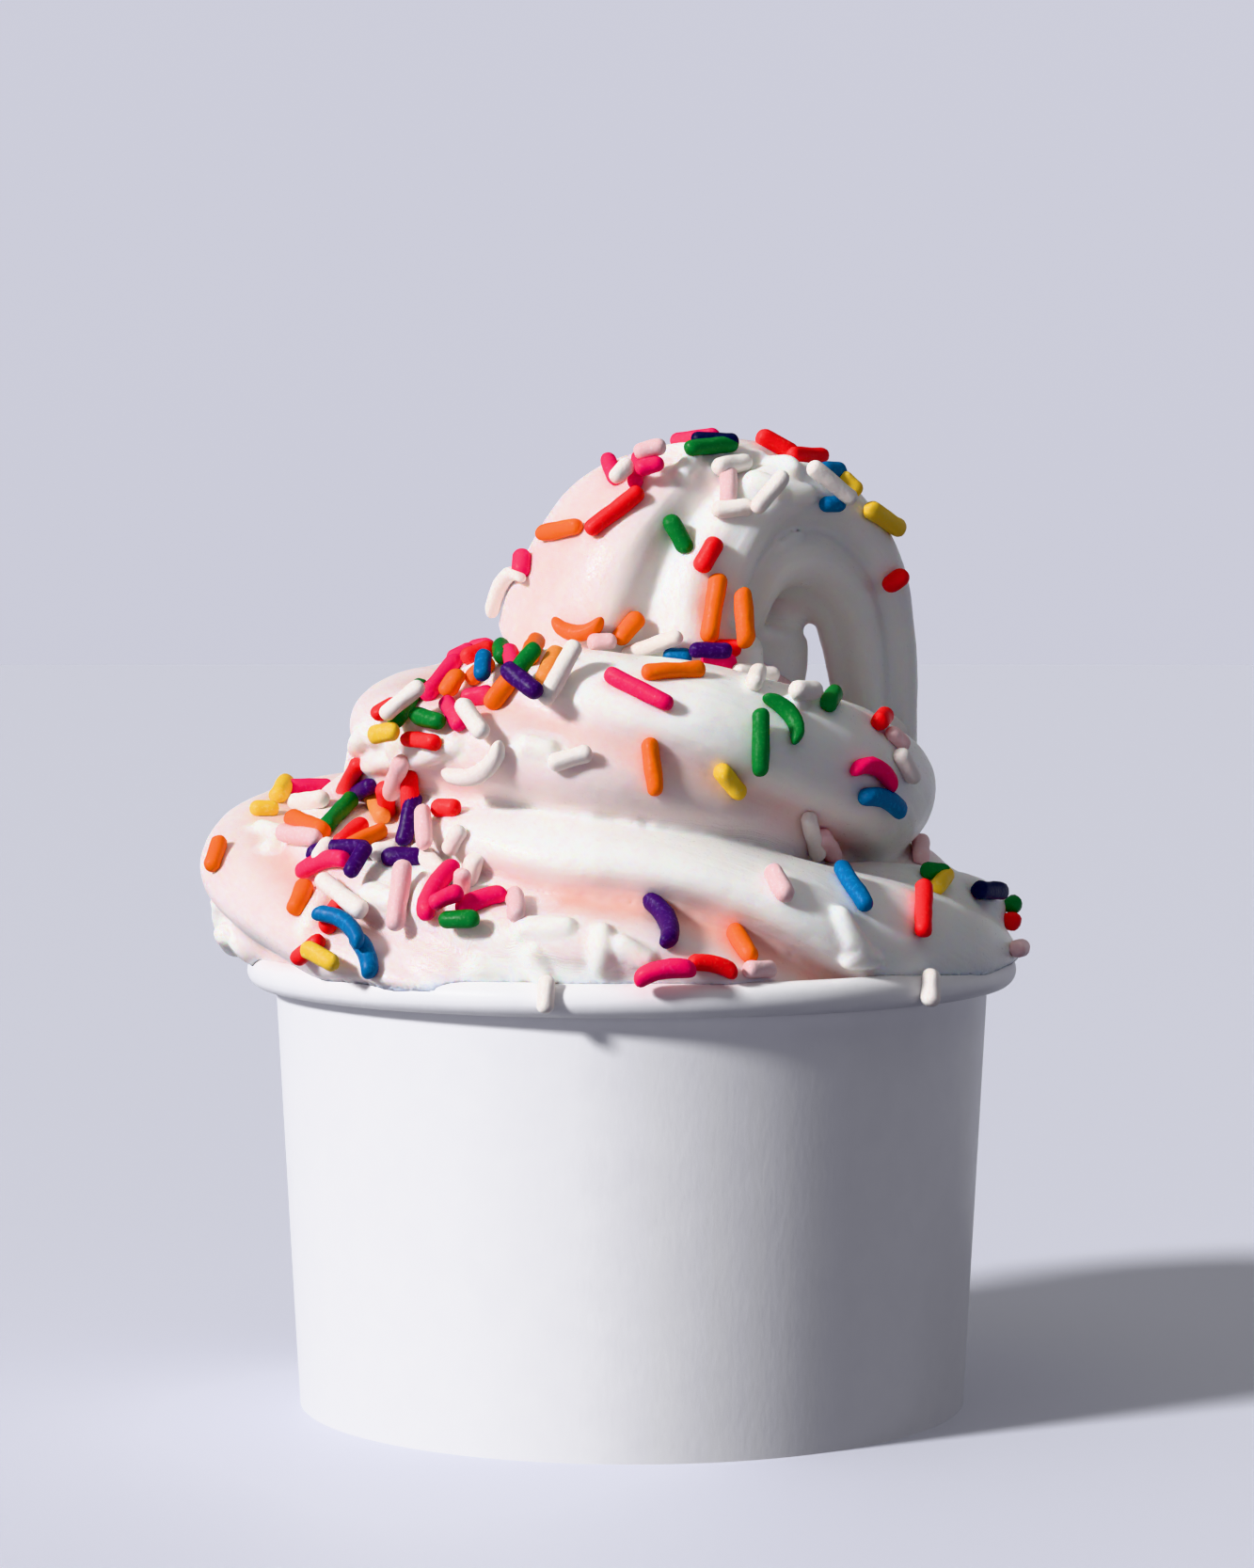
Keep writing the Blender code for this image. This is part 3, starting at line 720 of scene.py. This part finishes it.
def ice_cream():
    rings, rows, turns = rope_rings()
    lumps = [lump(*row[:3]) for row in LUMPS]
    heap = joined("ice_cream", [core(), fold(), *lumps, tube("strand", rings)])
    askew = Euler(REMESH_TURN).to_matrix().to_4x4()
    heap.data.transform(askew)
    remesh = heap.modifiers.new("remesh", "REMESH")
    remesh.mode = "VOXEL"
    remesh.voxel_size = VOXEL
    smooth = heap.modifiers.new("smooth", "SMOOTH")
    smooth.factor = SMOOTH_SHARE
    smooth.iterations = SKIN_SMOOTHING
    applied(heap)
    heap.data.transform(askew.inverted())
    tuck_in(heap)
    spots = coated_spots(surface_tree(heap))
    raise_coated(heap, spots)
    roughen(heap)
    cutter = cup_clearance()
    cut = heap.modifiers.new("cut", "BOOLEAN")
    cut.operation = "DIFFERENCE"
    cut.solver = "MANIFOLD"
    cut.object = cutter
    applied(heap)
    bpy.data.objects.remove(cutter)
    paint_skin(heap, rings, rows, turns, spots)
    heap.data.shade_smooth()
    return heap


def tree_of(points):
    tree = KDTree(len(points))
    for n, point in enumerate(points):
        tree.insert(point, n)
    tree.balance()
    return tree


def pink_and_groove_shade_of_rope(rows):
    """The share of pink round each ring, raised in the grooves of the pink side, where it turns to a darker
    pink that paints the grooves' shade.
    """
    shares = []
    for row in rows:
        twist, depth, curled = row[4:]
        nozzle = AZIMUTHS - math.radians(twist)
        middle = PINK_MIDDLE_DEG + (CURL_PINK_MIDDLE_DEG - PINK_MIDDLE_DEG) * curled
        off = np.abs((np.degrees(nozzle) - middle + 180) % 360 - 180)
        pink = np.clip((PINK_HALF_DEG + PINK_EDGE_DEG - off) / (2 * PINK_EDGE_DEG), 0, 1)
        deep = depth * (dips(nozzle, COIL_GROOVES) * (1 - curled) + dips(nozzle, CURL_GROOVES) * curled)
        # Deep in the grooves the share rises past PINK_OPEN, towards a darker pink that is painted shade.
        shares.append(pink * (PINK_OPEN + (1 - PINK_OPEN) * np.clip(deep / GROOVE_SHADE_DEPTH, 0, 1)))
    return np.concatenate(shares)


def through_nozzle(points, rows, turns):
    """Where each point passed the nozzle: its azimuth's cosine and sine, from its ring's row and turn."""
    turns = np.array(turns)
    twist, curled = np.radians(rows[:, 4]), rows[:, 6]
    along = turns[:, :, 2]
    upward = np.array(UP) - along * along[:, 2:]
    upward /= np.maximum(np.linalg.norm(upward, axis=1), MERGE)[:, None]
    flattened = (1 - COIL_HALF_HEIGHT / COIL_HALF_WIDTH) * (1 - curled)
    away = points - rows[:, :3]
    rise = np.sum(away * upward, axis=1)
    away += upward * (rise * flattened / (1 - flattened))[:, None]
    across = np.einsum("ni,nij->nj", away, turns)
    azimuth = np.arctan2(across[:, 1], across[:, 0]) - twist
    return np.cos(azimuth), np.sin(azimuth)


def paint_skin(heap, rings, rows, turns, spots):
    """Gives each vertex its share of pink, from the rope, the lump or the coated sprinkle next to it, with
    painted shade in the grooves as a share above the open pink, and its place in the nozzle, which the skin's
    fine streaks follow."""
    points = points_of(heap.data)
    rope = tree_of(np.concatenate(rings))
    nearest = np.array([rope.find(point)[1] for point in points])
    of_ring = nearest // ROPE_SIDES
    streak = [*through_nozzle(points, rows[of_ring], [turns[n] for n in of_ring])]
    streak.append(of_ring * RING_SPACING / STREAK_LENGTH)
    streak = [neighbours_mean(heap.data, column, BLUR_SHARE, STREAK_BLUR) for column in streak]
    place = heap.data.attributes.new("nozzle_place", "FLOAT_VECTOR", "POINT")
    place.data.foreach_set("vector", np.stack(streak, axis=1).astype(np.float32).ravel())
    shares = pink_and_groove_shade_of_rope(rows)[nearest]
    for middle, sizes, turn, pink in LUMPS:
        back = np.array(Matrix.Rotation(math.radians(-turn), 3, "Z"))
        near = np.linalg.norm((points - middle) @ back.T / sizes, axis=1)
        shares = np.where(near < LUMP_EDGE, PINK_OPEN * pink, shares)
    shares = neighbours_mean(heap.data, shares, BLUR_SHARE, PINK_BLUR)
    rods = tree_of(spots)
    reach = np.array([rods.find(point)[2] for point in points])
    clear = np.clip(reach / COAT_REACH - 1, 0, 1)
    shares = shares * (COAT_PALE + (1 - COAT_PALE) * clear)
    # The attribute named pink holds the flavour's share, raised in deep grooves to paint their shade.
    flavour_and_groove_shade = heap.data.attributes.new("pink", "FLOAT", "POINT")
    flavour_and_groove_shade.data.foreach_set("value", shares.astype(np.float32))


def camera_turn():
    pitch = math.atan((PHOTO_SIZE[1] / 2 - HORIZON_PX) / FOCAL_PX)
    swing = math.atan((AXIS_PX - PHOTO_SIZE[0] / 2) / FOCAL_PX)
    return Euler((math.pi / 2 - pitch, 0, swing)).to_matrix()


def sight(column, row):
    """The line of sight through a pixel of the photograph, from the camera."""
    across = column - PHOTO_SIZE[0] / 2
    down = row - PHOTO_SIZE[1] / 2
    return (camera_turn() @ Vector((across, -down, -FOCAL_PX))).normalized()


def landing(tree, origin, line):
    """Where a line meets the surface, or else the surface's point nearest to it, and the normal there."""
    place, normal = tree.ray_cast(origin, line)[:2]
    if place is not None:
        return place, normal
    reach = -origin.dot(line)
    steps = range(-MISS_REACH, MISS_REACH + 1, MISS_STEP)
    nearest = [tree.find_nearest(origin + line * (reach + step)) for step in steps]
    return min(nearest, key=lambda found: found[3])[:2]


def seen(tree, row):
    """Where a sprinkle of the photograph lies: its place, normal, direction, length and bend."""
    column, height, tilt, length, bend = row
    line = sight(column, height)
    aim = line
    for _ in range(SIGHTINGS):
        place, normal = landing(tree, CAMERA_PLACE, aim)
        centre = place + normal * (SPRINKLE_RADIUS - SPRINKLE_SINK)
        aim = (aim + line - (centre - CAMERA_PLACE).normalized()).normalized()
    tilt = math.radians(tilt)
    shown = camera_turn() @ Vector((math.cos(tilt), math.sin(tilt), 0))
    if length == 0:
        return place, normal, line, SPRINKLE_MOST * END_ON_LENGTH, bend
    along = shown - line * (shown.dot(normal) / min(normal.dot(line), -SLANT_LEAST))
    scale = (place - CAMERA_PLACE).length / FOCAL_PX
    return place, normal, along.normalized(), length * scale * along.length, bend


class Sprinkles:
    """Rods of about one size, each lying on the surface or on those before it."""

    def __init__(self, tree):
        self.tree = tree
        self.chance = random.Random(SEED)
        self.lying = []
        self.meshes = {}

    def crowded(self, spots):
        if not self.lying:
            return False
        others = np.concatenate(self.lying)
        return np.linalg.norm(spots[:, None] - others[None], axis=2).min() < SPRINKLE_CLEAR

    def bedded(self, place, normal, along, half):
        """The way a rod lies when its ends rest on the surface, and how far they lift its middle."""
        ends = []
        for end in (place + along * half, place - along * half):
            below = self.tree.ray_cast(end + normal * BED_REACH, -normal, 2 * BED_REACH)[0]
            ends.append(end if below is None else below)
        lift = ((ends[0] + ends[1]) / 2 - place).dot(normal)
        return (ends[0] - ends[1]).normalized(), max(lift, 0.0)

    def lay(self, colour, place, normal, along, length, bend=0.0):
        along = (along - normal * along.dot(normal)).normalized()
        length = min(max(length, SPRINKLE_LEAST), SPRINKLE_MOST)
        radius = SPRINKLE_RADIUS * self.chance.uniform(*SPRINKLE_GROWTH)
        half = length / 2 - radius
        along, lift = self.bedded(place, normal, along, half)
        facing = normal.dot((CAMERA_PLACE - place).normalized())
        most = SPRINKLE_LIFT if facing > SPRINKLE_FACING else 0.0
        raised = 0.0
        while True:
            centre = place + normal * (radius - SPRINKLE_SINK + lift + raised)
            steps = np.linspace(-half, half, SPRINKLE_SPOTS)[:, None]
            spots = np.array(centre) + steps * np.array(along)
            if raised >= most or not self.crowded(spots):
                break
            raised += LIFT_STEP
        self.lying.append(spots)
        self.rod(colour, centre, along, normal, half, radius, bend * length)

    def rod(self, colour, centre, along, normal, half, radius, bend):
        """A closed rod with round ends, bent within the surface and a little uneven."""
        side = normal.cross(along).normalized()
        vertices, faces = self.meshes.setdefault(colour, ([], []))
        tip = [math.radians(angle) for angle in ROD_TIP_DEG]
        caps = [(half + radius * ROD_TIP_REACH * math.cos(a), math.sin(a) ** ROD_TIP_POWER) for a in tip]
        body = [(half * share, 1.0) for share in ROD_BODY]
        outline = caps + body + [(-reach, share) for reach, share in reversed(caps)]
        first = len(vertices)
        wander = self.chance.uniform(0, 100)
        for reach, share in outline:
            arc = bend * (1 - (reach / (half + radius)) ** 2)
            middle = centre + along * reach + side * arc
            for n in range(SPRINKLE_SIDES):
                angle = math.tau * n / SPRINKLE_SIDES
                out = side * math.cos(angle) + normal * math.sin(angle)
                around = (reach * UNEVEN_PER_MM + wander, math.cos(angle), math.sin(angle))
                bump = noise.noise(Vector(around))
                vertices.append(middle + out * radius * share * (1 + SPRINKLE_UNEVEN * bump))
        for row in range(len(outline) - 1):
            for n in range(SPRINKLE_SIDES):
                here = first + row * SPRINKLE_SIDES
                there = here + SPRINKLE_SIDES
                after = (n + 1) % SPRINKLE_SIDES
                faces.append((here + n, here + after, there + after, there + n))
        faces.append(tuple(first + n for n in reversed(range(SPRINKLE_SIDES))))
        last = first + (len(outline) - 1) * SPRINKLE_SIDES
        faces.append(tuple(last + n for n in range(SPRINKLE_SIDES)))

    def from_photograph(self):
        for colour, rows in SPRINKLES.items():
            for row in rows:
                self.lay(colour, *seen(self.tree, row))

    def hidden(self, place, normal):
        """Whether the camera sees nothing of a rod there."""
        side = normal.orthogonal().normalized() * SPRINKLE_MOST / 2
        for turn in range(0, 360, HIDDEN_STEP_DEG):
            end = place + Matrix.Rotation(math.radians(turn), 3, normal) @ side
            end += normal * 2 * SPRINKLE_RADIUS
            if self.tree.ray_cast(end, (CAMERA_PLACE - end).normalized())[0] is None:
                return False
        return True

    def showers(self):
        """Scatters more over what the camera doesn't see."""
        colours = list(SPRINKLES)
        shares = [len(rows) for rows in SPRINKLES.values()]
        for start, aim, spread, count in SHOWERS:
            laid = 0
            for _ in range(count * SHOWER_TRIES):
                wander = Vector(self.chance.gauss(0, spread) for _ in range(3))
                line = (Vector(aim) + wander - Vector(start)).normalized()
                place, normal = self.tree.ray_cast(Vector(start), line)[:2]
                turn = self.chance.uniform(0, math.tau)
                length = self.chance.uniform(*SHOWER_LENGTHS)
                colour = self.chance.choices(colours, shares)[0]
                bend = self.chance.choice(SHOWER_BENDS)
                if laid == count or place is None or place.z < CUP_HEIGHT or not self.hidden(place, normal):
                    continue
                flat = Vector((math.cos(turn), math.sin(turn), 0.01))  # never quite along a level normal
                self.lay(colour, place, normal, flat, length, bend)
                laid += 1

    def pieces(self):
        for colour, (vertices, faces) in self.meshes.items():
            mesh = bpy.data.meshes.new("sprinkles_" + colour)
            mesh.from_pydata(vertices, [], faces)
            mesh.validate()
            mesh.shade_smooth()
            made = bpy.data.objects.new("sprinkles_" + colour, mesh)
            bpy.context.scene.collection.objects.link(made)
            yield colour, made


def principled(name, colour, roughness, sockets):
    """A material and its shader, with what is the same all over it set on the shader's own sockets."""
    material = bpy.data.materials.new(name)
    material.use_nodes = True
    shader = material.node_tree.nodes["Principled BSDF"]
    shader.inputs["Base Color"].default_value = (*colour, 1)
    shader.inputs["Roughness"].default_value = roughness
    for socket, value in sockets.items():
        shader.inputs[socket].default_value = value
    return material, shader


def grain(material, per_metre, detail, stretch=(1.0, 1.0, 1.0)):
    """Noise that is fixed to the piece: its output runs from about 0.3 to 0.7."""
    nodes, links = material.node_tree.nodes, material.node_tree.links
    place = nodes.new("ShaderNodeTexCoord")
    drawn = nodes.new("ShaderNodeMapping")
    drawn.inputs["Scale"].default_value = stretch
    noise_of = nodes.new("ShaderNodeTexNoise")
    noise_of.inputs["Scale"].default_value = per_metre
    noise_of.inputs["Detail"].default_value = detail
    links.new(place.outputs["Object"], drawn.inputs["Vector"])
    links.new(drawn.outputs["Vector"], noise_of.inputs["Vector"])
    return noise_of.outputs["Fac"]


def streaks(material, per_radian, detail):
    """Noise that runs along the rope, as the nozzle leaves it."""
    nodes, links = material.node_tree.nodes, material.node_tree.links
    place = nodes.new("ShaderNodeAttribute")
    place.attribute_name = "nozzle_place"
    noise_of = nodes.new("ShaderNodeTexNoise")
    noise_of.inputs["Scale"].default_value = per_radian
    noise_of.inputs["Detail"].default_value = detail
    links.new(place.outputs["Vector"], noise_of.inputs["Vector"])
    return noise_of.outputs["Fac"]


def ranged(owner, value, low, high, start=0.3, stop=0.7):
    """The value's range from start to stop, turned into low to high."""
    nodes, links = owner.node_tree.nodes, owner.node_tree.links
    range_of = nodes.new("ShaderNodeMapRange")
    for name, limit in (("From Min", start), ("From Max", stop), ("To Min", low), ("To Max", high)):
        range_of.inputs[name].default_value = limit
    links.new(value, range_of.inputs["Value"])
    return range_of.outputs["Result"]


def bumps(material, shader, *heights):
    """Relief from several heights, each with how far it rises in metres."""
    nodes, links = material.node_tree.nodes, material.node_tree.links
    before = None
    for height, rise in heights:
        bump = nodes.new("ShaderNodeBump")
        bump.inputs["Distance"].default_value = rise
        links.new(height, bump.inputs["Height"])
        if before:
            links.new(before, bump.inputs["Normal"])
        before = bump.outputs["Normal"]
    links.new(before, shader.inputs["Normal"])


def blended(owner, share, colour, other):
    """Two colours, or what two sockets give, mixed by a share."""
    nodes, links = owner.node_tree.nodes, owner.node_tree.links
    mix = nodes.new("ShaderNodeMix")
    mix.data_type = "RGBA"
    links.new(share, mix.inputs["Factor"])
    for name, wanted in (("A", colour), ("B", other)):
        if isinstance(wanted, tuple):
            mix.inputs[name].default_value = (*wanted, 1)
        else:
            links.new(wanted, mix.inputs[name])
    return mix.outputs["Result"]


def cream_material():
    """Moist ice cream: the two flavours, faintly mottled, with painted shade in the pink grooves, fine ice
    grain and small wet spots.
    """
    material, shader = principled("cream", WHITE_CREAM, CREAM_ROUGHNESS[0], CREAM_SOCKETS)
    nodes, links = material.node_tree.nodes, material.node_tree.links
    flavour_and_groove_shade = nodes.new("ShaderNodeAttribute")
    flavour_and_groove_shade.attribute_name = "pink"
    fade = nodes.new("ShaderNodeValToRGB")
    stops = fade.color_ramp.elements
    stops[0].color = (*WHITE_CREAM, 1)
    # The last stop is the grooves' pink with painted shade; the stop at PINK_OPEN is the open pink.
    stops[1].color = (*GROOVE_PINK_AND_SHADE, 1)
    stops.new(PINK_OPEN).color = (*PINK_CREAM, 1)
    links.new(flavour_and_groove_shade.outputs["Fac"], fade.inputs[0])
    mottle = ranged(material, grain(material, *CREAM_MOTTLE), 0.0, MOTTLE_SHARE)
    links.new(blended(material, mottle, fade.outputs[0], CLEAR_CREAM), shader.inputs["Base Color"])
    ice = grain(material, *CREAM_ICE)
    links.new(ranged(material, ice, *CREAM_ROUGHNESS), shader.inputs["Roughness"])
    bumps(
        material,
        shader,
        (streaks(material, *CREAM_STREAKS), CREAM_STREAKS_HEIGHT),
        (grain(material, *CREAM_GRAIN), CREAM_GRAIN_HEIGHT),
        (ice, CREAM_ICE_HEIGHT),
    )
    return material


def paper_material():
    """Coated white board: a faint cloudiness, short fibres along the wrap and a satin coat."""
    material, shader = principled("paper", PAPER_COLOUR, PAPER_ROUGHNESS[0], PAPER_SOCKETS)
    links = material.node_tree.links
    cloud = ranged(material, grain(material, *PAPER_CLOUD), 0.0, 1.0)
    links.new(blended(material, cloud, PAPER_COLOUR, PAPER_SHADE), shader.inputs["Base Color"])
    fibres = grain(material, *PAPER_FIBRES)
    links.new(ranged(material, fibres, *PAPER_ROUGHNESS), shader.inputs["Roughness"])
    bumps(material, shader, (fibres, PAPER_FIBRES_HEIGHT))
    return material


def sprinkle_material(colour):
    """Pressed sugar: even colour with fine lighter specks and a faint grain."""
    deep, light = SPRINKLE_COLOURS[colour]
    material, shader = principled("sprinkle_" + colour, deep, SUGAR_ROUGHNESS[0], SUGAR_SOCKETS)
    links = material.node_tree.links
    specks = grain(material, *SUGAR_SPECKS)
    share = ranged(material, specks, 0.0, SPECKS_SHARE, *SPECKS_RANGE)
    links.new(blended(material, share, deep, light), shader.inputs["Base Color"])
    links.new(ranged(material, specks, *SUGAR_ROUGHNESS), shader.inputs["Roughness"])
    rough = grain(material, *SUGAR_GRAIN)
    bumps(material, shader, (specks, SUGAR_SPECKS_HEIGHT), (rough, SUGAR_GRAIN_HEIGHT))
    return material


def surface_tree(*pieces):
    """One tree of all the pieces' faces."""
    points, faces = [], []
    for piece in pieces:
        first = len(points)
        points += [vertex.co.copy() for vertex in piece.data.vertices]
        faces += [[first + n for n in face.vertices] for face in piece.data.polygons]
    return BVHTree.FromPolygons(points, faces)


def settle(made, material, slot_name, *nodes):
    """Moves a finished piece into the frame, gives it its material, hangs it from the root and hides the
    imported nodes that it stands in for.
    """
    made.data.transform(TO_FRAME)
    made.data.update()
    made.data.materials.clear()
    made.data.materials.append(material)
    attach(made, "root")
    if nodes:
        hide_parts(*nodes)


def make_camera():
    lens = bpy.data.cameras.new("camera")
    lens.sensor_width = SENSOR_WIDTH
    lens.lens = SENSOR_WIDTH * FOCAL_PX / PHOTO_SIZE[1]
    lens.clip_start = CLIP_START
    camera = bpy.data.objects.new("camera", lens)
    bpy.context.scene.collection.objects.link(camera)
    camera.rotation_euler = camera_turn().to_euler()
    camera.location = TO_FRAME @ CAMERA_PLACE
    bpy.context.scene.camera = camera


def make_key():
    """One soft lamp from the front left, far enough away to light the floor evenly."""
    lamp = bpy.data.lights.new("key", "SUN")
    lamp.angle = math.radians(KEY_ANGLE_DEG)
    lamp.energy = KEY_STRENGTH
    light = bpy.data.objects.new("key", lamp)
    bpy.context.scene.collection.objects.link(light)
    light.rotation_euler = Vector(KEY_FROM).to_track_quat("Z", "Y").to_euler()


def make_stage():
    shape = bmesh.new()
    bmesh.ops.create_circle(shape, cap_ends=True, segments=FLOOR_SIDES, radius=FLOOR_RADIUS)
    floor = object_from("floor", shape)
    floor.data.transform(TO_FRAME)
    material = principled("floor", FLOOR_COLOUR, FLOOR_ROUGHNESS, {})[0]
    floor.data.materials.append(material)
    floor.visible_diffuse = False  # the world's lower half gives what a darker floor would reflect


def make_world():
    """A studio, pale round the horizon and dim overhead, over a floor that is lit on the lamp's side."""
    world = bpy.data.worlds.new("world")
    bpy.context.scene.world = world
    world.use_nodes = True
    nodes, links = world.node_tree.nodes, world.node_tree.links
    place = nodes.new("ShaderNodeTexCoord")
    parts = nodes.new("ShaderNodeSeparateXYZ")
    lifted = nodes.new("ShaderNodeMath")
    lifted.inputs[1].default_value = SKY_LIFT
    towards = nodes.new("ShaderNodeVectorMath")
    towards.operation = "DOT_PRODUCT"
    towards.inputs[1].default_value = Vector((KEY_FROM[0], KEY_FROM[1], 0)).normalized()
    fade = nodes.new("ShaderNodeValToRGB")
    stops = fade.color_ramp.elements
    for count, (height, colour) in enumerate(SKY):
        stop = stops[count] if count < len(stops) else stops.new(height + SKY_LIFT)
        stop.position = height + SKY_LIFT
        stop.color = (*colour, 1)
    links.new(place.outputs["Generated"], parts.inputs[0])
    links.new(parts.outputs["Z"], lifted.inputs[0])
    links.new(lifted.outputs[0], fade.inputs[0])
    links.new(place.outputs["Generated"], towards.inputs[0])
    lit = ranged(world, towards.outputs["Value"], 0.0, 1.0, *BOUNCE_EDGES)
    bounce = blended(world, lit, BOUNCE_SHADED, BOUNCE_LIT)
    below = ranged(world, parts.outputs["Z"], 0.0, 1.0, *BOUNCE_HEIGHTS)
    links.new(blended(world, below, fade.outputs[0], bounce), nodes["Background"].inputs["Color"])
    bpy.context.scene.view_settings.view_transform = "Khronos PBR Neutral"


def main():
    make_camera()
    make_stage()
    make_world()
    make_key()
    wall, disc = cup_wall(), cup_disc()
    for piece in (wall, disc):
        piece.data.shade_smooth()
        piece.data.set_sharp_from_angle(angle=math.radians(SHARP_DEG))
    heap = ice_cream()
    sprinkles = Sprinkles(surface_tree(heap, wall))
    sprinkles.from_photograph()
    sprinkles.showers()
    paper = paper_material()
    settle(wall, paper, "paper", "cup_wall")
    settle(disc, paper, "paper", "cup_disc")
    settle(heap, cream_material(), "ice_cream", "soft_serve")
    for colour, piece in sprinkles.pieces():
        settle(piece, sprinkle_material(colour), "sprinkle")


main()
